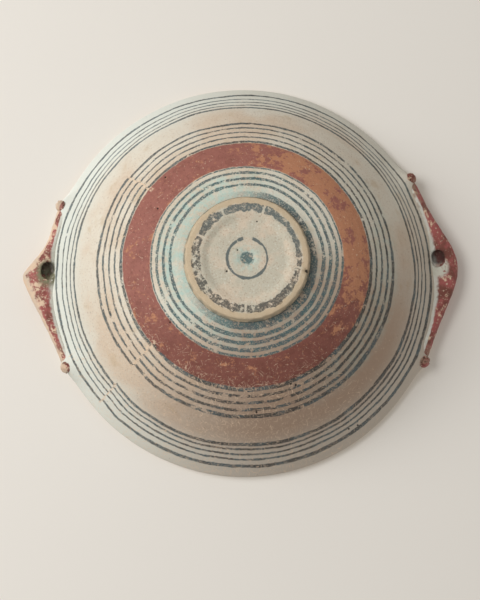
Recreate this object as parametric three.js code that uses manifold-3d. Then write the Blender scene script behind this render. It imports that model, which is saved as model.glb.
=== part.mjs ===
// Two-handled bowl: a wheel-thrown painted bowl on a low disc foot, with a strap handle
// on either side just below the rim. Millimetres, +Z up. The foot rests on z = 0, the
// bowl's axis is the Z axis, and the handles point along +X (right) and -X (left).

import * as THREE from "three";
import { mergeVertices } from "three/addons/utils/BufferGeometryUtils.js";
import Module from "manifold-3d";

const wasm = await Module();
wasm.setup();

// Bowl
const rimRadius = 75;
const rimHeight = 54;
const wallThickness = 4.4;
const floorThickness = 5.6;
const wallSlopeAtFoot = 10;
const wallSlopeAtRim = 53;
const wallRunFromFoot = 22;
const wallRunToRim = 44;
const wellDepth = 1.6;

// Foot
const footRadius = 20.8;
const footHeight = 3.4;
const footFlare = 0.5;
const footEdgeRound = 0.8;
const footRecessRadius = 15.6;
const footRecessDepth = 0.9;
const pivotDimpleRadius = 3.4;
const pivotDimpleDepth = 0.5;

// Handles. Each is a coil laid along the wall and drawn out in the middle to a pierced
// tip. Angles are in degrees from the handle's own side of the X axis, positive towards
// +Y, the back.
const strapBelowRim = 5.6;
const strapTipIntoWall = 2.9;
const strapTipHeight = 7.2;
const strapEndDepth = 3.6;
const strapEndHeight = 5.6;
const strapEndProud = 2.6;
const flankSharpness = 1.8;
const stringHoleWidth = 4.4;
const stringHoleLength = 6.4;
const jointGap = 0.3;
const rightHandle = {
  side: "right",
  tipBeyondRim: 7,
  tipAngle: -3.3,
  tipRoundAngle: 6,
  frontFlankAngle: 20,
  backFlankAngle: 23,
  frontEndAngle: -30,
  backEndAngle: 24.4,
  holeAngle: -5.5,
};
const leftHandle = {
  side: "left",
  tipBeyondRim: 8.9,
  tipAngle: -0.3,
  tipRoundAngle: 1.3,
  frontFlankAngle: 12.6,
  backFlankAngle: 23.6,
  frontEndAngle: -20.6,
  backEndAngle: 26,
  holeAngle: -1.8,
};

// Pellets of clay pressed on at the handle ends
const pelletDepth = 4.2;
const pelletLength = 4.8;
const pelletHeight = 5.4;
const pelletProud = 4.3;

// Fineness of the faceted surfaces
const turns = 72;
const wallSteps = 16;
const wellSteps = 5;
const outerLipSteps = 5;
const innerLipSteps = 2;
const roundSteps = 4;
const strapSteps = 44;
const strapSides = 18;

const creamSlip = { color: 0xd8c8b2, roughness: 0.85, metalness: 0 };
const wornFoot = { color: 0xcbb594, roughness: 0.85, metalness: 0 };
const redPaint = { color: 0x8e4a44, roughness: 0.8, metalness: 0 };

const radians = THREE.MathUtils.degToRad;

// Half of the wall's thickness rounds the lip, whose circle is centred here.
const lipRound = wallThickness / 2;
const lipCentre = new THREE.Vector2(rimRadius - lipRound, rimHeight - lipRound);
const rimDirection = directionAt(wallSlopeAtRim);
const footDirection = directionAt(wallSlopeAtFoot);
const wallStart = new THREE.Vector2(footRadius + footFlare, footHeight);
const wallEnd = lipCentre.clone().addScaledVector(normalOf(rimDirection), -lipRound);
const outerWall = new THREE.CubicBezierCurve(
  wallStart,
  wallStart.clone().addScaledVector(footDirection, wallRunFromFoot),
  wallEnd.clone().addScaledVector(rimDirection, -wallRunToRim),
  wallEnd,
);
const strapHeight = rimHeight - strapBelowRim;
const strapSeat = wallPointAtHeight(strapHeight);
const alongWallTilt = wallSlopeAtRim - 90;

function directionAt(slope) {
  return new THREE.Vector2(Math.cos(radians(slope)), Math.sin(radians(slope)));
}

// The normal on the bowl's inner side of a profile that climbs outwards.
function normalOf(direction) {
  return new THREE.Vector2(-direction.y, direction.x);
}

// Points of the outer wall moved along its normal, inwards when the distances are positive.
function wallPoints(distanceAt) {
  const points = [];
  for (let i = 0; i <= wallSteps; i++) {
    const t = i / wallSteps;
    const inwards = normalOf(outerWall.getTangent(t));
    points.push(outerWall.getPoint(t).addScaledVector(inwards, distanceAt(t)));
  }
  return points;
}

// An arc round the lip's centre between two angles in degrees, without its first point.
function lipArc(radius, from, to, steps) {
  const points = [];
  for (let i = 1; i <= steps; i++) {
    const onCircle = directionAt(from + ((to - from) * i) / steps);
    points.push(lipCentre.clone().addScaledVector(onCircle, radius));
  }
  return points;
}

// The lip from the outer wall's end to its top.
function outerLip(radius) {
  return lipArc(radius, alongWallTilt, 90, outerLipSteps);
}

function turned(profile) {
  return new THREE.LatheGeometry(profile, turns).rotateX(Math.PI / 2);
}

// A closed mesh as a solid that can be cut: corners shared, and no faces without area.
function solidOf(geometry) {
  const bare = geometry.clone();
  bare.deleteAttribute("normal");
  bare.deleteAttribute("uv");
  const merged = mergeVertices(bare);
  const corners = merged.index.array;
  const faces = [];
  for (let i = 0; i < corners.length; i += 3) {
    const [a, b, c] = corners.slice(i, i + 3);
    if (a !== b && b !== c && c !== a) faces.push(a, b, c);
  }
  return new wasm.Manifold(new wasm.Mesh({
    numProp: 3,
    vertProperties: new Float32Array(merged.attributes.position.array),
    triVerts: new Uint32Array(faces),
  }));
}

function geometryOf(solid) {
  const mesh = solid.getMesh();
  const geometry = new THREE.BufferGeometry();
  geometry.setAttribute("position", new THREE.BufferAttribute(mesh.vertProperties, 3));
  geometry.setIndex(new THREE.BufferAttribute(mesh.triVerts, 1));
  geometry.computeVertexNormals();
  return geometry;
}

function named(name, geometry, finish) {
  const mesh = new THREE.Mesh(geometry, new THREE.MeshStandardMaterial(finish));
  mesh.name = name;
  return mesh;
}

// The inner wall follows the outer one, thinning as far as half way up, and ends in a
// shallow well over the foot.
function innerWall() {
  const thinning = floorThickness - wallThickness;
  const thicknessAt = (t) => floorThickness - thinning * Math.min(1, 2 * t);
  const wall = wallPoints(thicknessAt).reverse();
  const wellEdge = wall.at(-1);
  const wellBottom = wellEdge.y - wellDepth;
  const well = new THREE.QuadraticBezierCurve(
    wellEdge,
    new THREE.Vector2(wellEdge.x / 2, wellBottom),
    new THREE.Vector2(0, wellBottom),
  );
  return [...wall, ...well.getPoints(wellSteps).slice(1)];
}

function bowlBody() {
  const innerLip = lipArc(lipRound, 90, alongWallTilt + 180, innerLipSteps);
  const profile = [
    new THREE.Vector2(0, footHeight),
    ...wallPoints(() => 0),
    ...outerLip(lipRound),
    ...innerLip.slice(0, -1),
    ...innerWall(),
  ];
  return turned(profile);
}

// Everything up to the outer wall and lip, grown by a gap: what is luted on is cut by it.
function filledBowl(gap) {
  const grownWall = wallPoints(() => -gap);
  const profile = [
    new THREE.Vector2(0, grownWall[0].y),
    ...grownWall,
    ...outerLip(lipRound + gap),
    new THREE.Vector2(0, rimHeight + gap),
  ];
  return solidOf(turned(profile));
}

// The disc that the bowl stands on. Its underside is recessed inside a flat resting
// ring, with a small dimple at the centre where the wheel's pivot stood.
function footDisc() {
  const recessCurve = new THREE.QuadraticBezierCurve(
    new THREE.Vector2(pivotDimpleRadius, footRecessDepth),
    new THREE.Vector2(pivotDimpleRadius / 2, footRecessDepth + pivotDimpleDepth),
    new THREE.Vector2(0, footRecessDepth + pivotDimpleDepth),
  );
  const profile = recessCurve.getPoints(roundSteps).reverse();
  profile.push(new THREE.Vector2(footRecessRadius - footRecessDepth, footRecessDepth));
  profile.push(new THREE.Vector2(footRecessRadius, 0));
  const edgeCentre = new THREE.Vector2(footRadius - footEdgeRound, footEdgeRound);
  for (let i = 0; i <= roundSteps; i++) {
    const onCircle = directionAt((90 * i) / roundSteps - 90);
    profile.push(edgeCentre.clone().addScaledVector(onCircle, footEdgeRound));
  }
  profile.push(wallStart.clone());
  profile.push(new THREE.Vector2(0, footHeight));
  return turned(profile);
}

function worldAngle(handle, angle) {
  return handle.side === "right" ? radians(angle) : Math.PI - radians(angle);
}

// How far the strap has swung out at an angle: 1 at its tip, 0 beyond its flanks. The tip
// is rounded over an angle of its own, and the flanks flatten towards the wall.
function swell(handle, angle) {
  const { tipAngle, tipRoundAngle, frontFlankAngle, backFlankAngle } = handle;
  const rounded = (offset) => Math.hypot(offset, tipRoundAngle) - tipRoundAngle;
  const flank = angle < tipAngle ? frontFlankAngle : backFlankAngle;
  const share = Math.min(1, rounded(angle - tipAngle) / rounded(flank));
  return (1 - share) ** flankSharpness;
}

// A point that stands off the outer wall at the strap's height, along the wall's normal.
function offWall(distance) {
  return strapSeat.clone().addScaledVector(normalOf(rimDirection), -distance);
}

// The strap's section at an angle, in the plane through the bowl's axis: an oval that
// lies along the wall at the strap's ends and stands level at its tip, where it reaches
// from inside the wall to beyond the rim.
function strapSection(handle, angle) {
  const amount = swell(handle, angle);
  const end = offWall(strapEndProud - strapEndDepth / 2);
  const tipReach = rimRadius + handle.tipBeyondRim;
  const tipDepth = tipReach - strapSeat.x + strapTipIntoWall;
  const tip = new THREE.Vector2(tipReach - tipDepth / 2, strapHeight);
  return {
    centre: end.lerp(tip, amount),
    halfDepth: THREE.MathUtils.lerp(strapEndDepth, tipDepth, amount) / 2,
    halfHeight: THREE.MathUtils.lerp(strapEndHeight, strapTipHeight, amount) / 2,
    tilt: radians(alongWallTilt) * (1 - amount),
  };
}

// A tube of that section bent round the bowl, closed at both ends and grown by a gap.
function strapTube(handle, growth) {
  const corners = [];
  const endGrowth = THREE.MathUtils.radToDeg(growth / rimRadius);
  const first = handle.frontEndAngle - endGrowth;
  const last = handle.backEndAngle + endGrowth;
  const noTurn = new THREE.Vector2(0, 0);
  for (let i = 0; i <= strapSteps; i++) {
    const share = handle.side === "right" ? i / strapSteps : 1 - i / strapSteps;
    const angle = first + (last - first) * share;
    const turn = worldAngle(handle, angle);
    const { centre, halfDepth, halfHeight, tilt } = strapSection(handle, angle);
    for (let j = 0; j < strapSides; j++) {
      const around = (2 * Math.PI * j) / strapSides;
      const corner = new THREE.Vector2(
        (halfDepth + growth) * Math.cos(around),
        (halfHeight + growth) * Math.sin(around),
      );
      corner.rotateAround(noTurn, tilt).add(centre);
      corners.push(corner.x * Math.cos(turn), corner.x * Math.sin(turn), corner.y);
    }
  }
  const faces = [];
  for (let i = 0; i < strapSteps; i++) {
    for (let j = 0; j < strapSides; j++) {
      const a = i * strapSides + j;
      const b = i * strapSides + ((j + 1) % strapSides);
      faces.push(a, a + strapSides, b + strapSides, a, b + strapSides, b);
    }
  }
  const lastRing = strapSteps * strapSides;
  for (let j = 1; j < strapSides - 1; j++) {
    faces.push(0, j, j + 1, lastRing, lastRing + j + 1, lastRing + j);
  }
  const geometry = new THREE.BufferGeometry();
  geometry.setAttribute("position", new THREE.Float32BufferAttribute(corners, 3));
  geometry.setIndex(faces);
  return solidOf(geometry);
}

// The string hole follows the wall's slope between the wall and the strap's tip, and is
// long enough to pass right through the strap.
function stringHole(handle) {
  const stadium = new THREE.Shape();
  const end = stringHoleWidth / 2;
  const straight = stringHoleLength / 2 - end;
  stadium.absarc(0, straight, end, 0, Math.PI);
  stadium.absarc(0, -straight, end, Math.PI, 2 * Math.PI);
  const length = 3 * strapTipHeight;
  const hole = new THREE.ExtrudeGeometry(stadium, { depth: length, bevelEnabled: false, curveSegments: 8 });
  hole.translate(0, 0, -length / 2);
  hole.rotateY(radians(-alongWallTilt));
  const centre = offWall(end);
  hole.translate(centre.x, 0, centre.y);
  hole.rotateZ(worldAngle(handle, handle.holeAngle));
  return solidOf(hole);
}

function wallPointAtHeight(height) {
  let low = 0;
  let high = 1;
  for (let i = 0; i < 30; i++) {
    const middle = (low + high) / 2;
    if (outerWall.getPoint(middle).y < height) low = middle;
    else high = middle;
  }
  return outerWall.getPoint(low);
}

function handleStrap(handle) {
  return strapTube(handle, 0).subtract(filledBowl(jointGap)).subtract(stringHole(handle));
}

// A pellet pressed over the strap's end, its long side along the wall.
function endPellet(handle, angle) {
  const pellet = new THREE.SphereGeometry(1, 20, 14);
  pellet.scale(pelletDepth / 2, pelletLength / 2, pelletHeight / 2);
  pellet.rotateY(radians(-alongWallTilt));
  const centre = offWall(pelletProud - pelletDepth / 2);
  pellet.translate(centre.x, 0, centre.y);
  const beyondEnd = THREE.MathUtils.radToDeg(pelletLength / 4 / centre.x);
  pellet.rotateZ(worldAngle(handle, angle + Math.sign(angle) * beyondEnd));
  return solidOf(pellet).subtract(filledBowl(jointGap)).subtract(strapTube(handle, jointGap));
}

function handleParts(handle) {
  const { side, frontEndAngle, backEndAngle } = handle;
  return [
    named(`handle_${side}`, geometryOf(handleStrap(handle)), redPaint),
    named(`pellet_${side}_front`, geometryOf(endPellet(handle, frontEndAngle)), redPaint),
    named(`pellet_${side}_back`, geometryOf(endPellet(handle, backEndAngle)), redPaint),
  ];
}

const bowl = new THREE.Group();
bowl.add(named("bowl_body", bowlBody(), creamSlip));
bowl.add(named("foot_disc", footDisc(), wornFoot));
bowl.add(...handleParts(rightHandle));
bowl.add(...handleParts(leftHandle));

export default bowl;
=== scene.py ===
import functools
import math

import bmesh
import bpy
from mathutils import Matrix, Vector, noise


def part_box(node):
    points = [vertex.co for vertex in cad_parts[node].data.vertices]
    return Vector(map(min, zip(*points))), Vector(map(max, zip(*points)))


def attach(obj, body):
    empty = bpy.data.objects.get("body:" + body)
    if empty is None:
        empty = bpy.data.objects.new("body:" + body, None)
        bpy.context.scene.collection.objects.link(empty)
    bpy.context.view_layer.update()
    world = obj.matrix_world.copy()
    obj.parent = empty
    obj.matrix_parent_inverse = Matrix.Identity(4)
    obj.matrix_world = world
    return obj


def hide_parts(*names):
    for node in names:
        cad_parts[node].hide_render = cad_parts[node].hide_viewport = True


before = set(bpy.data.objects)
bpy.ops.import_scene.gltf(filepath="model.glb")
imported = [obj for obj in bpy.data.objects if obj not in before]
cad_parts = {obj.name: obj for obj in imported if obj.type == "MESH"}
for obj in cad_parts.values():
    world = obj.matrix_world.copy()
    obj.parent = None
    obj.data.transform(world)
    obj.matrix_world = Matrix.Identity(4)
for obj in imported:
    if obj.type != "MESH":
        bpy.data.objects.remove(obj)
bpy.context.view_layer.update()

# Lengths are millimetres and angles degrees unless a name says otherwise. Angles on the
# bowl are photograph angles: 0 points at the right handle (+X), 90 at the photograph's
# top (-Y, the front), and 180 at the left handle.
MM = 0.001


def reach(node, axis, side):
    """How far a node of the frame reaches along an axis, on its low (0) or high (1) side."""
    return abs(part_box(node)[side][axis]) / MM


# Bowl
RIM_RADIUS = reach("bowl_body", 0, 1)
RIM_HEIGHT = reach("bowl_body", 2, 1)
FOOT_HEIGHT = reach("bowl_body", 2, 0)
WALL_THICKNESS = 4.4
FLOOR_THICKNESS = 5.6
WALL_SLOPE_AT_FOOT = 10
WALL_SLOPE_AT_RIM = 53
WALL_RUN_FROM_FOOT = 22
WALL_RUN_TO_RIM = 44
WELL_DEPTH = 1.6

# Foot
FOOT_TOP_RADIUS = reach("foot_disc", 0, 1)
FOOT_FLARE = 0.5
FOOT_RADIUS = FOOT_TOP_RADIUS - FOOT_FLARE
FOOT_EDGE_ROUND = 0.8
RECESS_RADIUS = 15.6
RECESS_DEPTH = 0.9
RECESS_SLOPE_WIDTH = 3.06
DIMPLE_RADIUS = 3.4
DIMPLE_DEPTH = 0.5

# Handles
STRAP_BELOW_RIM = 5.6
STRAP_TIP_INTO_WALL = 2.9
STRAP_TIP_HEIGHT = 7.2
STRAP_END_DEPTH = 3.6
STRAP_END_HEIGHT = 5.6
STRAP_END_PROUD = 2.6
STRAP_INTO_PELLET = 1.5
FLANK_SHARPNESS = 1.8
STRING_HOLE_WIDTH = 4.4
STRING_HOLE_LENGTH = 6.4
PELLET_DEPTH = 4.2
PELLET_LENGTH = 4.8
PELLET_HEIGHT = 5.4
PELLET_PROUD = 4.3
RIGHT_HANDLE = {
    "side": "right",
    "tip_reach": reach("handle_right", 0, 1),
    "tip": -3.3,
    "tip_round": 6,
    "front_flank": 20,
    "back_flank": 23,
    "front_end": -30,
    "back_end": 24.4,
    "hole": -5.5,
}
LEFT_HANDLE = {
    "side": "left",
    "tip_reach": reach("handle_left", 0, 0),
    "tip": -0.3,
    "tip_round": 1.3,
    "front_flank": 12.6,
    "back_flank": 23.6,
    "front_end": -20.6,
    "back_end": 26,
    "hole": -1.8,
}

# Painted circles as (radius, width of the line), from the foot outwards
FOOT_RINGS = [(6.7, 1.1)]
FLAKED_FOOT_RING = (17.2, 3.1)
INNER_CIRCLES = [(22.3, 2.4), (25.9, 1.0), (28.2, 0.95), (30.5, 0.9), (32.5, 0.55)]
MIDDLE_CIRCLES = [(43.1, 0.9), (45.4, 0.65), (47.7, 0.65), (50.1, 0.7), (52.4, 0.95)]
OUTER_CIRCLES = [(62.5, 0.8), (64.2, 0.5), (66.1, 0.5), (68.0, 0.5), (70.6, 0.85)]
RED_BAND = (37.7, 9.6)

# Where the brushed circles start and end; the second join is in the middle circles only
BRUSH_JOIN_ANGLE = 221
SECOND_JOIN_ANGLE = 142

# Pits as (photograph angle, radius, width, depth)
FOOT_PITS = [
    (-12.7, 20.2, 0.8, 0.9),
    (213, 8.1, 0.5, 0.6),
    (139, 4.2, 0.4, 0.4),
    (75, 12.8, 0.4, 0.3),
]
BOWL_PITS = [
    (149, 35.4, 0.5, 0.7),
    (133, 41.0, 0.5, 0.7),
    (219, 33.2, 0.5, 0.6),
    (-70, 44.0, 0.6, 0.5),
    (-68, 44.9, 0.6, 0.5),
    (-86, 51.0, 0.6, 0.6),
    (-56, 68.6, 0.6, 0.5),
    (-53, 69.6, 0.6, 0.5),
]

# Camera, fitted to the photograph's painted circles
CAMERA_PLACE = (-8.54, 53.2, -327.7)
CAMERA_VIEW = (0.01845, -0.1182, 0.99282)
CAMERA_UP = (0, -0.993, -0.1182)
CAMERA_LENS = 60


def direction(degrees):
    """A flat unit vector at an angle."""
    return Vector((math.cos(math.radians(degrees)), math.sin(math.radians(degrees))))


def blend(low, high, share):
    return low + (high - low) * share


def smooth_step(low, high, value):
    share = min(1, max(0, (value - low) / (high - low)))
    return share * share * (3 - 2 * share)


# The bowl's profile

LIP_ROUND = WALL_THICKNESS / 2
LIP_CENTRE = Vector((RIM_RADIUS - LIP_ROUND, RIM_HEIGHT - LIP_ROUND))


def inwards(tangent):
    """The normal on the bowl's inner side of a profile that climbs outwards."""
    return Vector((-tangent.y, tangent.x)).normalized()


def outer_wall():
    """The four control points of the outer wall's curve."""
    start = Vector((FOOT_TOP_RADIUS, FOOT_HEIGHT))
    end = LIP_CENTRE - inwards(direction(WALL_SLOPE_AT_RIM)) * LIP_ROUND
    return (
        start,
        start + direction(WALL_SLOPE_AT_FOOT) * WALL_RUN_FROM_FOOT,
        end - direction(WALL_SLOPE_AT_RIM) * WALL_RUN_TO_RIM,
        end,
    )


def wall_point(share, distance):
    """A point of the outer wall, moved inwards by a distance."""
    a, b, c, d = outer_wall()
    rest = 1 - share
    point = a * rest**3 + b * 3 * rest**2 * share + c * 3 * rest * share**2 + d * share**3
    tangent = (b - a) * rest**2 + (c - b) * 2 * rest * share + (d - c) * share**2
    return point + inwards(tangent) * distance


def arc(centre, radius, first, last, steps):
    return [centre + direction(blend(first, last, i / steps)) * radius for i in range(steps + 1)]


def bowl_profile():
    """The outside from the foot to the top of the lip, and the inside from there to the axis."""
    wall_steps, inner_steps, well_steps, lip_steps = 130, 64, 12, 8
    along_wall = WALL_SLOPE_AT_RIM - 90
    under_foot = FOOT_TOP_RADIUS * 0.9
    outside = [Vector((0, FOOT_HEIGHT)), Vector((under_foot, FOOT_HEIGHT))]
    outside += [wall_point(i / wall_steps, 0) for i in range(wall_steps)]
    outside += arc(LIP_CENTRE, LIP_ROUND, along_wall, 90, lip_steps)
    inside = arc(LIP_CENTRE, LIP_ROUND, 90, along_wall + 180, lip_steps)[1:-1]
    for i in range(inner_steps, -1, -1):
        share = i / inner_steps
        thickness = blend(FLOOR_THICKNESS, WALL_THICKNESS, min(1, 2 * share))
        inside.append(wall_point(share, thickness))
    edge = inside[-1]
    for i in range(1, well_steps + 1):
        share = i / well_steps
        inside.append(Vector((edge.x * (1 - share), edge.y - WELL_DEPTH * share * (2 - share))))
    return outside, inside


def foot_profile():
    """The foot's underside from the axis outwards, its rounded edge and its top."""
    dimple_steps, slope_steps, edge_steps, side_steps = 8, 12, 6, 6
    flat_step = 0.3
    profile = []
    for i in range(dimple_steps + 1):
        share = i / dimple_steps
        depth = RECESS_DEPTH + DIMPLE_DEPTH * (1 - share * share)
        profile.append(Vector((DIMPLE_RADIUS * share, depth)))
    face_end = RECESS_RADIUS - RECESS_SLOPE_WIDTH
    face_steps = int((face_end - DIMPLE_RADIUS) / flat_step)
    for i in range(1, face_steps + 1):
        profile.append(Vector((blend(DIMPLE_RADIUS, face_end, i / face_steps), RECESS_DEPTH)))
    for i in range(1, slope_steps + 1):
        share = i / slope_steps
        height = RECESS_DEPTH * (1 - smooth_step(0, 1, share))
        profile.append(Vector((blend(face_end, RECESS_RADIUS, share), height)))
    edge_centre = Vector((FOOT_RADIUS - FOOT_EDGE_ROUND, FOOT_EDGE_ROUND))
    ring_steps = int((edge_centre.x - RECESS_RADIUS) / flat_step)
    for i in range(1, ring_steps):
        profile.append(Vector((blend(RECESS_RADIUS, edge_centre.x, i / ring_steps), 0)))
    profile += arc(edge_centre, FOOT_EDGE_ROUND, -90, 0, edge_steps)
    top = Vector((FOOT_TOP_RADIUS, FOOT_HEIGHT))
    side_start = profile[-1]
    for i in range(1, side_steps + 1):
        profile.append(side_start.lerp(top, i / side_steps))
    profile.append(Vector((0, FOOT_HEIGHT)))
    return profile


# Relief: how far a surface point moves along its outward normal. The hand-made surface
# lies just inside the exact one.

def pits_at(spot, pits):
    """How deep the pits are at a point."""
    depth = 0
    for angle, radius, width, pit_depth in pits:
        centre = direction(angle) * radius
        away = (Vector((spot.x, -spot.y)) - centre).length
        if away < 3 * width:
            depth += pit_depth * math.exp(-((away / width) ** 2))
    return depth


def rough(spot, size, seed):
    """Smooth noise between -1 and 1 with features of a size."""
    return noise.noise(spot / size + Vector((seed, 2 * seed, 3 * seed)))


def luting(spot):
    """How far the wall swells towards the handles, where wet clay was smeared to join them."""
    smear_height, mound_height = 1.1, 2.3
    mound_beyond_end, mound_before_end = 5.2, 3
    fall_above, fall_below = 2.8, 4.6
    furthest = 12
    height = spot.z - RIM_HEIGHT + STRAP_BELOW_RIM
    if abs(height) > furthest:
        return 0
    swell = 0
    for handle in (RIGHT_HANDLE, LEFT_HANDLE):
        angle = handle_angle(handle, spot)
        within = min(angle - handle["front_end"], handle["back_end"] - angle)
        if within > -furthest:
            hole = math.exp(-(((angle - handle["hole"]) / 5) ** 2))
            swell += smear_height * smooth_step(-6, 1, within) * (1 - hole)
            mound_width = mound_beyond_end if within < -1 else mound_before_end
            swell += mound_height * math.exp(-(((within + 1) / mound_width) ** 2))
    fall = fall_above if height > 0 else fall_below
    return swell * math.exp(-((height / fall) ** 2)) * (1 + 0.15 * rough(spot, 3, 5))


def wall_relief(spot, inside):
    """Turning ridges, a slow wave and a fine grain; outside also the pits and the luting."""
    skin_depth = 0.22
    ridge_spacing, ridge_depth = (4.2, 0.16) if inside else (3.1, 0.05)
    radius = math.hypot(spot.x, spot.y)
    drift = 0.6 * rough(spot, 30, 1)
    ridge = math.sin(2 * math.pi * (radius / ridge_spacing + drift))
    relief = -skin_depth - ridge_depth * (1 - ridge) / 2
    relief += 0.12 * rough(spot, 28, 2) + 0.03 * rough(spot, 2.2, 3) + 0.02 * rough(spot, 0.9, 4)
    if inside:
        return relief
    return relief - pits_at(spot, BOWL_PITS) + luting(spot)


def foot_relief(spot):
    """A grain, pits, and wear along the foot's edge."""
    skin_depth, wear_width, wear_depth = 0.1, 2, 0.16
    relief = -skin_depth + 0.05 * rough(spot, 6, 6) + 0.035 * rough(spot, 1.1, 7)
    worn_edge = smooth_step(FOOT_RADIUS - wear_width, FOOT_RADIUS, math.hypot(spot.x, spot.y))
    relief -= wear_depth * worn_edge * (1 + rough(spot, 1.8, 8))
    return relief - pits_at(spot, FOOT_PITS)


# Meshes

def mesh_object(name, corners, faces):
    """A smooth-shaded object from corners in millimetres."""
    mesh = bpy.data.meshes.new(name)
    mesh.from_pydata([corner * MM for corner in corners], [], faces)
    mesh.polygons.foreach_set("use_smooth", [True] * len(mesh.polygons))
    mesh.update()
    piece = bpy.data.objects.new(name, mesh)
    bpy.context.scene.collection.objects.link(piece)
    return piece


def lathe(name, profile, segments, relief_at):
    """Turns a profile that starts and ends on the axis, with a relief for each point."""
    corners = []
    faces = []
    last = len(profile) - 1
    for ring, point in enumerate(profile):
        before, after = profile[max(ring - 1, 0)], profile[min(ring + 1, last)]
        tangent = (after - before).normalized()
        for step in range(1 if ring in (0, last) else segments):
            turn = 2 * math.pi * step / segments
            around = Vector((math.cos(turn), math.sin(turn), 0))
            spot = around * point.x + Vector((0, 0, point.y))
            out = around * tangent.y - Vector((0, 0, tangent.x))
            corners.append(spot + out * relief_at(spot, ring))

    def corner(ring, step):
        return 0 if ring == 0 else 1 + (ring - 1) * segments + step % segments

    for step in range(segments):
        faces.append((0, corner(1, step + 1), corner(1, step)))
        faces.append((corner(last - 1, step), corner(last - 1, step + 1), corner(last, 0)))
        for ring in range(1, last - 1):
            faces.append((
                corner(ring, step),
                corner(ring, step + 1),
                corner(ring + 1, step + 1),
                corner(ring + 1, step),
            ))
    return mesh_object(name, corners, faces)


def settled(piece):
    """Puts the result of the piece's modifiers into its mesh."""
    evaluated = piece.evaluated_get(bpy.context.evaluated_depsgraph_get())
    mesh = bpy.data.meshes.new_from_object(evaluated)
    piece.modifiers.clear()
    piece.data = mesh
    mesh.polygons.foreach_set("use_smooth", [True] * len(mesh.polygons))


def bowl():
    """The body, with its painted slip outside and over the lip, and plain slip inside."""
    segments, painted_lip = 440, 0.6
    outside, inside = bowl_profile()
    first_inside = len(outside)

    def relief_at(spot, ring):
        return wall_relief(spot, ring >= first_inside)

    piece = lathe("bowl", outside + inside, segments, relief_at)
    piece.data.materials.append(painted_slip())
    piece.data.materials.append(plain_slip())
    lip_top = (RIM_HEIGHT - painted_lip) * MM
    for face in piece.data.polygons:
        face.material_index = 1 if face.normal.z > 0 and face.center.z < lip_top else 0
    return piece


def foot():
    segments = 300
    piece = lathe("foot", foot_profile(), segments, lambda spot, ring: foot_relief(spot))
    piece.data.materials.append(foot_clay())
    return piece


# Handles. Their own angles count from the handle's side of the X axis, towards +Y.

def handle_angle(handle, spot):
    outwards = spot.x if handle["side"] == "right" else -spot.x
    return math.degrees(math.atan2(spot.y, outwards))


def world_angle(handle, angle):
    return math.radians(angle if handle["side"] == "right" else 180 - angle)


def strap_seat():
    """The outer wall's point at the strap's height."""
    low, high = 0, 1
    for _ in range(30):
        middle = (low + high) / 2
        if wall_point(middle, 0).y < RIM_HEIGHT - STRAP_BELOW_RIM:
            low = middle
        else:
            high = middle
    return wall_point(low, 0)


def off_wall(distance):
    """A point at the strap's height that stands off the wall by a distance."""
    return strap_seat() - inwards(direction(WALL_SLOPE_AT_RIM)) * distance


def strap_swell(handle, angle):
    """1 at the strap's tip, 0 beyond its flanks."""
    def rounded(offset):
        return math.hypot(offset, handle["tip_round"]) - handle["tip_round"]

    offset = angle - handle["tip"]
    flank = handle["front_flank"] if offset < 0 else handle["back_flank"]
    return (1 - min(1, rounded(offset) / rounded(flank))) ** FLANK_SHARPNESS


def strap_section(handle, angle):
    """The centre, half depth, half height and tilt of the strap's oval at an angle."""
    amount = strap_swell(handle, angle)
    seat = strap_seat()
    tip_depth = handle["tip_reach"] - seat.x + STRAP_TIP_INTO_WALL
    end = off_wall(STRAP_END_PROUD - STRAP_END_DEPTH / 2)
    tip = Vector((handle["tip_reach"] - tip_depth / 2, seat.y))
    return (
        end.lerp(tip, amount),
        blend(STRAP_END_DEPTH, tip_depth, amount) / 2,
        blend(STRAP_END_HEIGHT, STRAP_TIP_HEIGHT, amount) / 2,
        math.radians(WALL_SLOPE_AT_RIM - 90) * (1 - amount),
    )


def strap_tube(handle):
    """The strap as a closed tube, which runs on a little way into the pellets."""
    steps, sides = 150, 40
    first = handle["front_end"] - STRAP_INTO_PELLET
    last = handle["back_end"] + STRAP_INTO_PELLET
    corners = []
    faces = []
    for i in range(steps + 1):
        share = i / steps if handle["side"] == "right" else 1 - i / steps
        angle = blend(first, last, share)
        turn = world_angle(handle, angle)
        centre, half_depth, half_height, tilt = strap_section(handle, angle)
        for j in range(sides):
            around = 2 * math.pi * j / sides
            corner = Vector((half_depth * math.cos(around), half_height * math.sin(around)))
            corner.rotate(Matrix.Rotation(tilt, 2))
            corner += centre
            corners.append(Vector((corner.x * math.cos(turn), corner.x * math.sin(turn), corner.y)))
    for i in range(steps):
        for j in range(sides):
            a, b = i * sides + j, i * sides + (j + 1) % sides
            faces.append((a, a + sides, b + sides, b))
    faces.append(tuple(range(sides)))
    faces.append(tuple(range((steps + 1) * sides - 1, steps * sides - 1, -1)))
    return mesh_object(f"strap_{handle['side']}", corners, faces)


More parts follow.
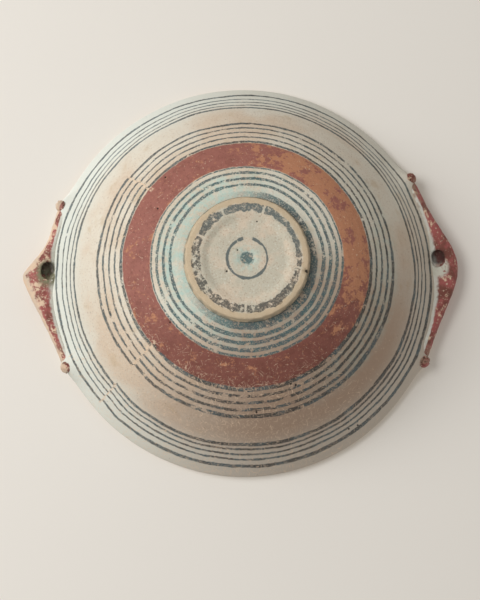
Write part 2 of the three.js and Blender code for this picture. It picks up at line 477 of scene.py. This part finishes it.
def string_hole(handle):
    """A long slanted plug of the hole's outline, for cutting the strap."""
    end = STRING_HOLE_WIDTH / 2
    straight = STRING_HOLE_LENGTH / 2 - end
    round_steps = 12
    outline = arc(Vector((0, straight)), end, 0, 180, round_steps)
    outline += arc(Vector((0, -straight)), end, 180, 360, round_steps)
    half_length = 1.5 * STRAP_TIP_HEIGHT
    centre = off_wall(end)
    place = Matrix.Rotation(world_angle(handle, handle["hole"]), 4, "Z")
    place @= Matrix.Translation((centre.x, 0, centre.y))
    place @= Matrix.Rotation(math.radians(90 - WALL_SLOPE_AT_RIM), 4, "Y")
    sides = len(outline)
    corners = [place @ Vector((p.x, p.y, z)) for z in (-half_length, half_length) for p in outline]
    faces = [(j, (j + 1) % sides, (j + 1) % sides + sides, j + sides) for j in range(sides)]
    faces.append(tuple(range(sides - 1, -1, -1)))
    faces.append(tuple(range(sides, 2 * sides)))
    return mesh_object("string_hole", corners, faces)


def hole_crust(handle):
    """A lump of hardened soil that stops the upper half of the string hole."""
    up_the_hole = 2.2
    half_sizes = (3.1, 3.9, 2.2, 1)
    middle = off_wall(STRING_HOLE_WIDTH / 2) + direction(WALL_SLOPE_AT_RIM) * up_the_hole
    solid = bmesh.new()
    bmesh.ops.create_icosphere(solid, subdivisions=3, radius=1)
    place = Matrix.Rotation(world_angle(handle, handle["hole"]), 4, "Z")
    place @= Matrix.Translation((middle.x, 0, middle.y))
    place @= Matrix.Diagonal(half_sizes)
    solid.transform(place)
    corners = [vertex.co.copy() for vertex in solid.verts]
    faces = [tuple(corner.index for corner in face.verts) for face in solid.faces]
    solid.free()
    return mesh_object("hole_crust", corners, faces)


def hand_worn(piece, depth, seed):
    """Roughens a small piece's surface along its normals."""
    for vertex in piece.data.vertices:
        spot = vertex.co / MM
        lump = 0.5 * rough(spot, 4, seed)
        lump += 0.3 * rough(spot, 1.4, seed + 1) + 0.2 * rough(spot, 0.6, seed + 2)
        vertex.co += vertex.normal * (lump - 0.5) * depth * MM
    piece.data.update()


def mark_edge(piece, handle):
    """Stores how near each point lies to the strap's outer edge, 0 at the wall and 1 there."""
    least_width = 2
    edge = piece.data.attributes.new("edge", "FLOAT", "POINT")
    wall = strap_seat().x
    for vertex, value in zip(piece.data.vertices, edge.data):
        spot = vertex.co / MM
        centre, half_depth, _, _ = strap_section(handle, handle_angle(handle, spot))
        outermost = centre.x + half_depth
        value.value = (math.hypot(spot.x, spot.y) - wall) / max(outermost - wall, least_width)


def handle_strap(handle, material):
    """The strap, pierced and partly stopped with soil, with evenly fine and softened faces."""
    voxel_size, smoothing = 0.4, 4
    piece = strap_tube(handle)
    cutter = string_hole(handle)
    crust = hole_crust(handle)
    for operation, tool in (("DIFFERENCE", cutter), ("UNION", crust)):
        step = piece.modifiers.new(tool.name, "BOOLEAN")
        step.operation = operation
        step.object = tool
    even = piece.modifiers.new("even faces", "REMESH")
    even.mode = "VOXEL"
    even.voxel_size = voxel_size * MM
    soft = piece.modifiers.new("soft edges", "SMOOTH")
    soft.iterations = smoothing
    settled(piece)
    bpy.data.objects.remove(cutter)
    bpy.data.objects.remove(crust)
    hand_worn(piece, 0.3, 11)
    mark_edge(piece, handle)
    piece.data.materials.append(material)
    return piece


def end_pellet(handle, end, material):
    """A pellet of clay pressed over the strap's end, its long side along the wall."""
    solid = bmesh.new()
    bmesh.ops.create_uvsphere(solid, u_segments=56, v_segments=36, radius=MM / 2)
    centre = off_wall(PELLET_PROUD - PELLET_DEPTH / 2)
    angle = handle[f"{end}_end"]
    beyond = math.copysign(math.degrees(PELLET_LENGTH / 4 / centre.x), angle)
    place = Matrix.Rotation(world_angle(handle, angle + beyond), 4, "Z")
    place @= Matrix.Translation((centre.x * MM, 0, centre.y * MM))
    place @= Matrix.Rotation(math.radians(90 - WALL_SLOPE_AT_RIM), 4, "Y")
    place @= Matrix.Diagonal((PELLET_DEPTH, PELLET_LENGTH, PELLET_HEIGHT, 1))
    solid.transform(place)
    name = f"knob_{handle['side']}_{end}"
    mesh = bpy.data.meshes.new(name)
    solid.to_mesh(mesh)
    solid.free()
    mesh.polygons.foreach_set("use_smooth", [True] * len(mesh.polygons))
    piece = bpy.data.objects.new(name, mesh)
    bpy.context.scene.collection.objects.link(piece)
    hand_worn(piece, 0.6, 21)
    mark_edge(piece, handle)
    mesh.materials.append(material)
    return piece


# Materials, built from nodes by arithmetic on the surface's coordinates

def colour(red, green, blue):
    """A colour as it looks on a screen, 0 to 255, as the linear one that shaders take."""
    def linear(value):
        share = value / 255
        return share / 12.92 if share <= 0.04045 else ((share + 0.055) / 1.055) ** 2.4
    return linear(red), linear(green), linear(blue), 1


class Field:
    """A value that varies over a surface. Arithmetic on it adds nodes to the material."""

    def __init__(self, tree, socket):
        self.tree = tree
        self.socket = socket

    def plug(self, socket, value):
        if isinstance(value, Field):
            self.tree.links.new(value.socket, socket)
        else:
            socket.default_value = value

    def math(self, operation, first, second=0.0):
        node = self.tree.nodes.new("ShaderNodeMath")
        node.operation = operation
        self.plug(node.inputs[0], first)
        self.plug(node.inputs[1], second)
        return Field(self.tree, node.outputs[0])

    def __add__(self, other):
        return self.math("ADD", self, other)

    def __sub__(self, other):
        return self.math("SUBTRACT", self, other)

    def __rsub__(self, other):
        return self.math("SUBTRACT", other, self)

    def __mul__(self, other):
        return self.math("MULTIPLY", self, other)

    def __truediv__(self, other):
        return self.math("DIVIDE", self, other)

    def __abs__(self):
        return self.math("ABSOLUTE", self)

    def larger(self, other):
        return self.math("MAXIMUM", self, other)

    def ramp(self, low, high):
        """0 at low and 1 at high, smooth between them; low may be the larger one."""
        node = self.tree.nodes.new("ShaderNodeMapRange")
        node.interpolation_type = "SMOOTHSTEP"
        self.plug(node.inputs["Value"], self)
        node.inputs["From Min"].default_value = low
        node.inputs["From Max"].default_value = high
        return Field(self.tree, node.outputs["Result"])


def union(masks):
    """The largest of several masks."""
    return functools.reduce(Field.larger, masks)


class Surface:
    """A material under construction, whose coordinates are the bowl's millimetres."""

    def __init__(self, name):
        self.material = bpy.data.materials.new(name)
        self.material.use_nodes = True
        self.tree = self.material.node_tree
        self.shader = self.tree.nodes["Principled BSDF"]
        place = self.tree.nodes.new("ShaderNodeTexCoord").outputs["Object"]
        scaled = self.tree.nodes.new("ShaderNodeVectorMath")
        scaled.operation = "SCALE"
        scaled.inputs["Scale"].default_value = 1 / MM
        self.tree.links.new(place, scaled.inputs[0])
        self.point = scaled.outputs[0]
        parts = self.tree.nodes.new("ShaderNodeSeparateXYZ")
        self.tree.links.new(self.point, parts.inputs[0])
        self.x, self.y, self.z = (Field(self.tree, socket) for socket in parts.outputs)
        squared = self.x * self.x + self.y * self.y
        self.radius = squared.math("SQRT", squared)

    def noise(self, size, seed, detail=3.0, grain=0.55, turn=0.0):
        """Noise about 0.5 whose features have a size, or three sizes turned about the axis."""
        sizes = size if isinstance(size, tuple) else (size, size, size)
        place = self.tree.nodes.new("ShaderNodeMapping")
        place.vector_type = "TEXTURE"
        place.inputs["Location"].default_value = (7.3 * seed, -4.1 * seed, 2.9 * seed)
        place.inputs["Rotation"].default_value = (0, 0, math.radians(-turn))
        place.inputs["Scale"].default_value = sizes
        self.tree.links.new(self.point, place.inputs["Vector"])
        texture = self.tree.nodes.new("ShaderNodeTexNoise")
        texture.inputs["Scale"].default_value = 1
        texture.inputs["Detail"].default_value = detail
        texture.inputs["Roughness"].default_value = grain
        self.tree.links.new(place.outputs[0], texture.inputs["Vector"])
        return Field(self.tree, texture.outputs[0])

    def towards(self, degrees):
        """The cosine of the angle between a point's direction and a photograph angle."""
        across = direction(degrees)
        return (self.x * across.x - self.y * across.y) / self.radius.larger(0.01)

    def near(self, spot, inner, outer):
        """1 within an inner distance of a spot and 0 beyond an outer one."""
        node = self.tree.nodes.new("ShaderNodeVectorMath")
        node.operation = "DISTANCE"
        self.tree.links.new(self.point, node.inputs[0])
        node.inputs[1].default_value = spot
        return Field(self.tree, node.outputs["Value"]).ramp(outer, inner)

    def near_pits(self, pits):
        """1 in the middle of the pits, seen along the axis."""
        masks = []
        for angle, radius, width, _ in pits:
            centre = direction(angle) * radius
            away_x, away_y = self.x - centre.x, self.y + centre.y
            masks.append((away_x * away_x + away_y * away_y).ramp(width * width, 0))
        return union(masks)

    def mix(self, below, above, amount):
        """One colour over another."""
        node = self.tree.nodes.new("ShaderNodeMix")
        node.data_type = "RGBA"
        for number, value in ((0, amount), (6, below), (7, above)):
            self.x.plug(node.inputs[number], value)
        return Field(self.tree, node.outputs[2])

    def finish(self, paint, roughness, height, bump_depth):
        """Sets the shader's colour, roughness and fine bump, and gives the material."""
        bump = self.tree.nodes.new("ShaderNodeBump")
        bump.inputs["Strength"].default_value = 1
        bump.inputs["Distance"].default_value = bump_depth * MM
        self.tree.links.new(height.socket, bump.inputs["Height"])
        self.tree.links.new(bump.outputs[0], self.shader.inputs["Normal"])
        self.tree.links.new(paint.socket, self.shader.inputs["Base Color"])
        self.tree.links.new(roughness.socket, self.shader.inputs["Roughness"])
        self.shader.inputs["Specular IOR Level"].default_value = 0.3
        return self.material


SLIP_CREAM = colour(214, 196, 174)
SLIP_PALE = colour(220, 211, 194)
SLIP_BROWN = colour(160, 134, 114)
LIP_WHITE = colour(222, 225, 215)
CLAY_OCHRE = colour(197, 175, 143)
LINE_DARK = colour(62, 62, 60)
LINE_SLATE = colour(72, 88, 92)
TEAL_DARK = colour(62, 94, 98)
TURQUOISE = colour(172, 204, 196)
MAROON = colour(154, 99, 88)
MAROON_DARK = colour(122, 74, 64)
WORN_ORANGE = colour(190, 134, 100)
PALE_CHIP = colour(226, 200, 172)
FOOT_BEIGE = colour(196, 190, 172)
# Near-black for dark grit, and painted shade in the pits and the string holes
GRIT_AND_HOLLOW_SHADE = colour(34, 28, 24)
ROSE_RED = colour(164, 92, 88)
SOIL_GREEN = colour(128, 126, 100)
LIME_WHITE = colour(206, 204, 190)


def line_mask(at, brush, lines):
    """1 on painted circles: at is the radius as the brush ran, brush scales their widths."""
    soft_edge = 0.13
    return union([
        (brush * (width / 2) - abs(at - radius)).ramp(-soft_edge, soft_edge)
        for radius, width in lines
    ])


def slip_paint(surface):
    """The cream slip with its slow changes of tone and its fine specks."""
    tone = surface.noise(26, 1, detail=2)
    paint = surface.mix(SLIP_CREAM, SLIP_PALE, tone.ramp(0.42, 0.6))
    grit = surface.noise(0.55, 2, detail=2)
    paint = surface.mix(paint, SLIP_BROWN, grit.ramp(0.58, 0.7) * 0.55)
    paint = surface.mix(paint, LIP_WHITE, grit.ramp(0.4, 0.3) * 0.5)
    stain = surface.noise(7, 3, detail=5)
    return surface.mix(paint, CLAY_OCHRE, stain.ramp(0.56, 0.72) * 0.45)


def slip_grain(surface):
    """The height of the slip's grain, from brushing marks to grit."""
    return surface.noise(2.4, 31, detail=4) * 0.6 + surface.noise(0.5, 32, detail=3) * 0.4


def scratches(surface, turn, seed, amount):
    """Thin straight scratches along one direction; amount is where they may lie."""
    streaks = surface.noise((3.2, 0.24, 3.2), seed, detail=1, turn=turn)
    return (streaks + amount * 0.09).ramp(0.76, 0.8)


def brush_join(surface, angle, seed):
    """A radial join where the brushed circles start and end: its line and their shift."""
    across_axis = direction(angle + 90)
    along = surface.towards(angle).ramp(0.2, 0.25)
    across = surface.x * across_axis.x - surface.y * across_axis.y
    seam = abs(across + (surface.noise(2.5, seed) - 0.5) * 3).ramp(0.6, 0.3) * along
    ragged = surface.noise(0.9, seed + 1, detail=4, grain=0.7).ramp(0.4, 0.56)
    shift = across.ramp(11, 0.2) * across.ramp(-0.1, 0.1) * along
    return seam * ragged, shift


def brush_joins(surface):
    """Both joins: their pale lines and how far they shift the circles."""
    seam, shift = brush_join(surface, BRUSH_JOIN_ANGLE, 41)
    second_seam, second_shift = brush_join(surface, SECOND_JOIN_ANGLE, 43)
    middle_circles = surface.radius.ramp(56, 55)
    seams = seam.larger(second_seam * middle_circles)
    return seams, shift * 0.9 - second_shift * middle_circles * 0.6


def red_paint(surface):
    """The red band's paint, worn to orange clay at the photograph's right."""
    bottom = surface.towards(-80).ramp(-0.1, 1)
    shade = bottom * 0.8 + surface.noise(5, 51).ramp(0.45, 0.7) * 0.35
    paint = surface.mix(MAROON, MAROON_DARK, shade)
    worn_side = surface.towards(28).ramp(0.15, 0.95)
    wear = surface.noise(6.5, 52, detail=8, grain=0.72) + worn_side * 0.14
    paint = surface.mix(paint, WORN_ORANGE, wear.ramp(0.57, 0.63) * 0.85)
    fine = surface.noise(1.1, 53, detail=5, grain=0.75) + worn_side * 0.05
    paint = surface.mix(paint, WORN_ORANGE, fine.ramp(0.58, 0.68) * 0.75)
    paint = surface.mix(paint, MAROON_DARK, fine.ramp(0.47, 0.38) * 0.6)
    chips = surface.noise(0.7, 54, detail=2).ramp(0.68, 0.74)
    return surface.mix(paint, PALE_CHIP, chips * 0.8)


def outer_slip(surface, left, bottom_right, film):
    """The slip outside, browner at the photograph's bottom right and whiter at the lip, with
    a turquoise mineral film inside the red band and at the right."""
    radius = surface.radius
    paint = surface.mix(slip_paint(surface), SLIP_BROWN, bottom_right * 0.9)
    paint = surface.mix(paint, LIP_WHITE, radius.ramp(57, 68) * (left * 0.65 + 0.35))
    inner = radius.ramp(34.5, 27)
    paint = surface.mix(paint, TURQUOISE, inner * film * (left * 0.6 + 0.3))
    right_film = radius.ramp(41, 46) * radius.ramp(56, 52) * surface.towards(-10).ramp(0.4, 1)
    return surface.mix(paint, TURQUOISE, right_film * film * 0.35)


def slate_paint(surface, left):
    """The outer circles' paint."""
    blue = surface.noise(6, 67).ramp(0.42, 0.62) + left * 0.3
    return surface.mix(LINE_DARK, LINE_SLATE, blue)


def teal_paint(surface, left, film):
    """The inner circles' paint, with film over the thick circle at the photograph's left."""
    teal = surface.mix(LINE_SLATE, TEAL_DARK, surface.noise(4, 68).ramp(0.4, 0.6))
    return surface.mix(teal, TURQUOISE, surface.radius.ramp(25, 23.5) * left * film * 0.75)


def damaged(surface, paint, seams, lower, dark_grit):
    """Paint with its brush joins, scratches, grit, painted shade in the pits, and a bare rim."""
    radius = surface.radius
    middle_group = radius.ramp(40.8, 41.5) * radius.ramp(53.8, 53)
    outer_group = radius.ramp(61, 62) * radius.ramp(72, 71)
    paint = surface.mix(paint, PALE_CHIP, seams * (middle_group + outer_group) * 0.9)
    where = lower * radius.ramp(32, 44) * 0.8 + 0.1
    for turn, seed in ((-40, 71), (5, 72), (35, 73), (75, 74), (-70, 78)):
        paint = surface.mix(paint, PALE_CHIP, scratches(surface, turn, seed, where) * 0.7)
    paint = surface.mix(paint, GRIT_AND_HOLLOW_SHADE, dark_grit * 0.6)
    # Painted shade: the pits darkened to near-black
    paint = surface.mix(paint, GRIT_AND_HOLLOW_SHADE, surface.near_pits(BOWL_PITS).ramp(0.5, 0.8) * 0.9)
    rim = surface.z.ramp(RIM_HEIGHT - 2.4, RIM_HEIGHT - 0.8)
    bare_rim = rim * surface.noise(3, 76).ramp(0.45, 0.6)
    return surface.mix(paint, CLAY_OCHRE, bare_rim * 0.6)


def painted_slip():
    """The bowl's outside: slip and mineral film, painted band and circles, and damage."""
    surface = Surface("painted_slip")
    radius = surface.radius
    left = surface.towards(160).ramp(-0.5, 0.9)
    bottom_right = surface.towards(-60).ramp(0.05, 1)
    lower = surface.towards(255).ramp(0.1, 0.9)
    film = surface.noise(2.6, 61, detail=6, grain=0.7).ramp(0.3, 0.7)
    paint = outer_slip(surface, left, bottom_right, film)

    drift = (surface.noise(16, 62, detail=2) - 0.5) * 1.3
    tremble = (surface.noise(1.3, 63, detail=3) - 0.5) * 0.55
    at = radius + drift + tremble
    band_radius, band_width = RED_BAND
    band = (band_width / 2 - abs(at - band_radius)).ramp(-0.2, 0.2)
    paint = surface.mix(paint, red_paint(surface), band)

    seams, shift = brush_joins(surface)
    brush = surface.noise(8, 64, detail=3) * 1.1 + bottom_right * 0.5 + 0.45
    inner_lines = line_mask(at, brush, INNER_CIRCLES)
    outer_lines = line_mask(at + shift, brush, MIDDLE_CIRCLES + OUTER_CIRCLES)
    firm = radius.ramp(57, 60) * 0.05 - lower * radius.ramp(56, 50) * 0.03
    kept = (surface.noise(3.5, 65, detail=7, grain=0.75) + firm).ramp(0.385, 0.43)
    flecks = surface.noise(0.5, 66, detail=3, grain=0.7).ramp(0.62, 0.5)
    outer_cover = outer_lines * kept * (flecks * 0.45 + 0.5)
    paint = surface.mix(paint, slate_paint(surface, left), outer_cover)
    faded = 1 - radius.ramp(25, 24) * surface.towards(158).ramp(-0.1, 0.75) * 0.85
    inner_cover = inner_lines * kept * faded * (flecks * 0.6 + 0.32)
    paint = surface.mix(paint, teal_paint(surface, left, film), inner_cover)

    dark_grit = surface.noise(0.8, 75, detail=1).ramp(0.76, 0.8)
    paint = damaged(surface, paint, seams, lower, dark_grit)
    roughness = surface.noise(2, 77) * 0.2 + 0.68 - band * 0.1
    height = slip_grain(surface) + (outer_lines.larger(inner_lines) * kept + band) * 0.12
    return surface.finish(paint, roughness, height - dark_grit * 0.4, 0.22)


def plain_slip():
    """The bowl's inside: plain slip with turning marks, a little worn on the floor."""
    surface = Surface("plain_slip")
    endless, mark_spacing = 400, 2.1
    marks = surface.noise((endless, endless, mark_spacing), 81, detail=3)
    paint = slip_paint(surface)
    paint = surface.mix(paint, SLIP_BROWN, marks.ramp(0.5, 0.75) * 0.35)
    worn_floor = surface.z.ramp(22, 9) * surface.noise(5, 82, detail=5).ramp(0.45, 0.62)
    paint = surface.mix(paint, CLAY_OCHRE, worn_floor * 0.5)
    dark_grit = surface.noise(0.8, 83, detail=1).ramp(0.76, 0.8)
    paint = surface.mix(paint, GRIT_AND_HOLLOW_SHADE, dark_grit * 0.5)
    roughness = surface.noise(2, 84) * 0.2 + 0.7
    return surface.finish(paint, roughness, slip_grain(surface) + marks * 0.3, 0.22)


def foot_face(surface, grit):
    """The foot's beige face, its bare ochre edge and the film round its middle."""
    radius = surface.radius
    paint = surface.mix(FOOT_BEIGE, SLIP_CREAM, surface.noise(6, 92).ramp(0.42, 0.62) * 0.7)
    paint = surface.mix(paint, SLIP_BROWN, grit.ramp(0.56, 0.68) * 0.5)
    paint = surface.mix(paint, LIP_WHITE, grit.ramp(0.42, 0.3) * 0.5)
    edge = (radius + (surface.noise(2, 93) - 0.5) * 2.2).ramp(17.9, 18.9)
    paint = surface.mix(paint, CLAY_OCHRE, edge * 0.75)
    halo = radius.ramp(6, 2.5) * surface.noise(1.6, 94, detail=4).ramp(0.35, 0.6)
    return surface.mix(paint, TURQUOISE, halo * 0.6)


def flaked_ring(surface, brush, flakes):
    """1 on the dark ring, which is flaked and crossed by a few thin gaps."""
    at = surface.radius + (surface.noise(2.2, 95, detail=5, grain=0.7) - 0.5) * 1.9
    worn_left = surface.towards(190).ramp(0.75, 0.95)
    ring = line_mask(at, brush, [FLAKED_FOOT_RING]) * (flakes - worn_left * 0.05).ramp(0.4, 0.46)
    ragged = (surface.noise(1.2, 104) - 0.5) * 0.0012
    for gap in (118, 71, -11, -92, 155):
        ring = ring * (surface.towards(gap) + ragged).ramp(0.99992, 0.9996)
    return ring


def foot_clay():
    """The foot: its face, flaked dark ring, small ring, teal dot, scratches, and pits with painted
    shade in them.
    """
    surface = Surface("foot_clay")
    radius = surface.radius
    grit = surface.noise(0.6, 91, detail=3)
    paint = foot_face(surface, grit)

    brush = surface.noise(3, 96) * 1.6 - surface.towards(5).ramp(0.5, 1) * 0.3 + 0.05
    flakes = surface.noise(2.1, 97, detail=6, grain=0.72)
    ring = flaked_ring(surface, brush, flakes)
    slate = surface.mix(LINE_DARK, LINE_SLATE, surface.towards(75).ramp(-0.1, 0.9))
    paint = surface.mix(paint, slate, ring * (grit.ramp(0.62, 0.48) * 0.35 + 0.5))
    small_gap = surface.towards(88).ramp(0.985, 0.965)
    small = line_mask(radius + (surface.noise(1.5, 98) - 0.5) * 0.5, brush, FOOT_RINGS)
    paint = surface.mix(paint, LINE_SLATE, small * small_gap * flakes.ramp(0.37, 0.43) * 0.85)
    dot = (radius + (surface.noise(1.2, 99) - 0.5) * 2.4).ramp(2.5, 1.9) * grit.ramp(0.7, 0.5)
    paint = surface.mix(paint, TEAL_DARK, dot * 0.85)

    for turn, seed in ((25, 101), (40, 102)):
        lines = scratches(surface, turn, seed, 0.25)
        paint = surface.mix(paint, SLIP_BROWN, lines * 0.5)
    side = surface.z.ramp(0.9, 2.6)
    paint = surface.mix(paint, TEAL_DARK, side * surface.noise(3, 103).ramp(0.45, 0.6) * 0.5)
    # Painted shade: the foot's pits darkened to near-black
    paint = surface.mix(paint, GRIT_AND_HOLLOW_SHADE, surface.near_pits(FOOT_PITS).ramp(0.4, 0.8) * 0.9)
    roughness = grit * 0.2 + 0.7
    return surface.finish(paint, roughness, slip_grain(surface) + ring * 0.12, 0.24)


def hole_spot(handle, outwards, deep, along):
    """A point of the string hole: outwards from its middle line, deep in it and along the strap."""
    spot = off_wall(STRING_HOLE_WIDTH / 2 + outwards) + direction(WALL_SLOPE_AT_RIM) * deep
    turn = world_angle(handle, handle["hole"] + math.degrees(along / spot.x))
    return spot.x * math.cos(turn), spot.x * math.sin(turn), spot.y


def crusts_and_hole_shade(surface, paint, crust):
    """Paint with painted shade inside both string holes, a green crust by the left one and lime by
    the right one, and how much of a crust lies there."""
    green = surface.near(hole_spot(LEFT_HANDLE, 0.5, -3, 1), 3.2, 6.5)
    paint = surface.mix(paint, SOIL_GREEN, green * crust)
    white = surface.near(hole_spot(RIGHT_HANDLE, 1, -3, 3.4), 3, 4.8)
    paint = surface.mix(paint, LIME_WHITE, white * crust)
    for handle in (LEFT_HANDLE, RIGHT_HANDLE):
        inside = surface.near(hole_spot(handle, -0.5, 1, -1.5), 2.8, 4.2)
        # Painted shade: the inside of each string hole darkened
        paint = surface.mix(paint, GRIT_AND_HOLLOW_SHADE, inside * 0.75)
    return paint, crust * (green + white)


def handle_paint():
    """Red paint on the handles, worn to cream along the left one's edge."""
    surface = Surface("handle_paint")
    edge = surface.tree.nodes.new("ShaderNodeAttribute")
    edge.attribute_name = "edge"
    outer_edge = Field(surface.tree, edge.outputs["Fac"])
    left = surface.x.ramp(5, -5)
    patches = surface.noise(3.4, 111, detail=5, grain=0.66)
    fine = surface.noise(0.8, 112, detail=4, grain=0.7)
    red = surface.mix(ROSE_RED, MAROON_DARK, surface.noise(5, 113).ramp(0.4, 0.65))
    cream = surface.mix(SLIP_CREAM, PALE_CHIP, patches.ramp(0.4, 0.6))
    worn_edge = (outer_edge + (patches - 0.5) * 0.9).ramp(0.62, 0.74) * left
    speckled = (fine + left * 0.035).ramp(0.59, 0.66)
    worn = union([(patches + left * 0.02).ramp(0.57, 0.63), speckled, worn_edge])
    paint = surface.mix(red, cream, worn * 0.9)
    at_wall = (outer_edge + (patches - 0.5) * 0.5).ramp(0.12, -0.05)
    paint = surface.mix(paint, LIP_WHITE, at_wall * 0.85)
    knobs = abs(surface.y).ramp(22, 30) * surface.noise(2.5, 114).ramp(0.4, 0.65)
    paint = surface.mix(paint, SLIP_BROWN, knobs * (left * -0.3 + 0.8))
    paint, soil = crusts_and_hole_shade(surface, paint, surface.noise(1.4, 115, detail=5).ramp(0.33, 0.48))
    roughness = fine * 0.2 + 0.66
    height = slip_grain(surface) + (patches + soil * 0.6) * 0.5
    return surface.finish(paint, roughness, height, 0.35)


# Stage, light and camera

def one_sided(name, paint):
    """A matt surface that shows only from its front, so no view is blocked by its back."""
    material = bpy.data.materials.new(name)
    material.use_nodes = True
    tree = material.node_tree
    shader = tree.nodes["Principled BSDF"]
    shader.inputs["Base Color"].default_value = paint
    shader.inputs["Roughness"].default_value = 0.95
    shader.inputs["Specular IOR Level"].default_value = 0.1
    clear = tree.nodes.new("ShaderNodeBsdfTransparent")
    back = tree.nodes.new("ShaderNodeNewGeometry").outputs["Backfacing"]
    choose = tree.nodes.new("ShaderNodeMixShader")
    tree.links.new(back, choose.inputs[0])
    tree.links.new(shader.outputs[0], choose.inputs[1])
    tree.links.new(clear.outputs[0], choose.inputs[2])
    tree.links.new(choose.outputs[0], tree.nodes["Material Output"].inputs["Surface"])
    return material


def stage_sheet(name, centre, half_width, half_length, faces_down, paint):
    """A level sheet that catches the bowl's shadow, and neither lights nor shades anything."""
    x, y, z = centre
    corners = [
        Vector((x + u * half_width, y + v * half_length, z))
        for u, v in ((-1, -1), (1, -1), (1, 1), (-1, 1))
    ]
    sheet = mesh_object(name, corners, [(3, 2, 1, 0) if faces_down else (0, 1, 2, 3)])
    sheet.data.materials.append(one_sided(name, paint))
    sheet.visible_diffuse = False
    sheet.visible_glossy = False
    sheet.visible_shadow = False


def soft_light(name, towards_light, distance, size, brightness, tint):
    """A square light whose brightness is what a white surface facing it shows. Its distance
    from the bowl and its size are metres."""
    data = bpy.data.lights.new(name, "AREA")
    data.size = size
    data.energy = brightness * (math.pi * distance) ** 2
    data.color = tint
    lamp = bpy.data.objects.new(name, data)
    bpy.context.scene.collection.objects.link(lamp)
    back = Vector(towards_light).normalized()
    lamp.location = Vector((0, 0, RIM_HEIGHT / 2 * MM)) + back * distance
    lamp.rotation_mode = "QUATERNION"
    lamp.rotation_quaternion = back.to_track_quat("Z", "Y")


def studio_world(ambient, backdrop, tint):
    """Even light from all sides; the camera sees a brighter, paler tone instead."""
    world = bpy.data.worlds.new("studio")
    world.use_nodes = True
    tree = world.node_tree
    light = tree.nodes["Background"]
    light.inputs["Color"].default_value = tint
    light.inputs["Strength"].default_value = ambient
    seen = tree.nodes.new("ShaderNodeBackground")
    seen.inputs["Color"].default_value = (1, 0.985, 0.96, 1)
    seen.inputs["Strength"].default_value = backdrop
    path = tree.nodes.new("ShaderNodeLightPath")
    choose = tree.nodes.new("ShaderNodeMixShader")
    tree.links.new(path.outputs["Is Camera Ray"], choose.inputs[0])
    tree.links.new(light.outputs[0], choose.inputs[1])
    tree.links.new(seen.outputs[0], choose.inputs[2])
    tree.links.new(choose.outputs[0], tree.nodes["World Output"].inputs["Surface"])
    bpy.context.scene.world = world


def photograph_camera():
    """The camera that took the photograph, below the bowl and looking up at its foot."""
    data = bpy.data.cameras.new("camera")
    data.lens = CAMERA_LENS
    camera = bpy.data.objects.new("camera", data)
    bpy.context.scene.collection.objects.link(camera)
    forward = Vector(CAMERA_VIEW).normalized()
    right = forward.cross(Vector(CAMERA_UP)).normalized()
    up = right.cross(forward)
    place = Matrix((right, up, -forward)).transposed().to_4x4()
    place.translation = Vector(CAMERA_PLACE) * MM
    camera.matrix_world = place
    bpy.context.scene.camera = camera


def studio():
    pale = colour(232, 228, 221)
    behind_bowl = (-1.4, 7.7, RIM_HEIGHT + 0.2)
    stage_sheet("floor", (0, 0, 0), 4000, 4000, False, pale)
    stage_sheet("backdrop", behind_bowl, 110, 135, True, pale)
    soft_light("key_below", (-0.68, -0.13, -0.72), 0.95, 0.6, 0.76, (1, 0.99, 0.98))
    soft_light("key_above", (-0.5, -0.45, 0.75), 1.1, 0.6, 0.6, (1, 0.99, 0.97))
    soft_light("fill_above", (0.7, 0.35, 0.6), 1.1, 0.9, 0.2, (1, 0.96, 0.9))
    studio_world(0.43, 0.8, (1, 0.97, 0.93, 1))
    bpy.context.scene.view_settings.view_transform = "Standard"


def dress(piece, node):
    """The piece stands for a node of the frame: it hangs from the root body, and the node's part is
    hidden.
    """
    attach(piece, "root")
    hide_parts(node)


photograph_camera()
studio()
dress(bowl(), "bowl_body")
dress(foot(), "foot_disc")
red = handle_paint()
for handle in (RIGHT_HANDLE, LEFT_HANDLE):
    side = handle["side"]
    dress(handle_strap(handle, red), f"handle_{side}")
    for end in ("front", "back"):
        dress(end_pellet(handle, end, red), f"pellet_{side}_{end}")
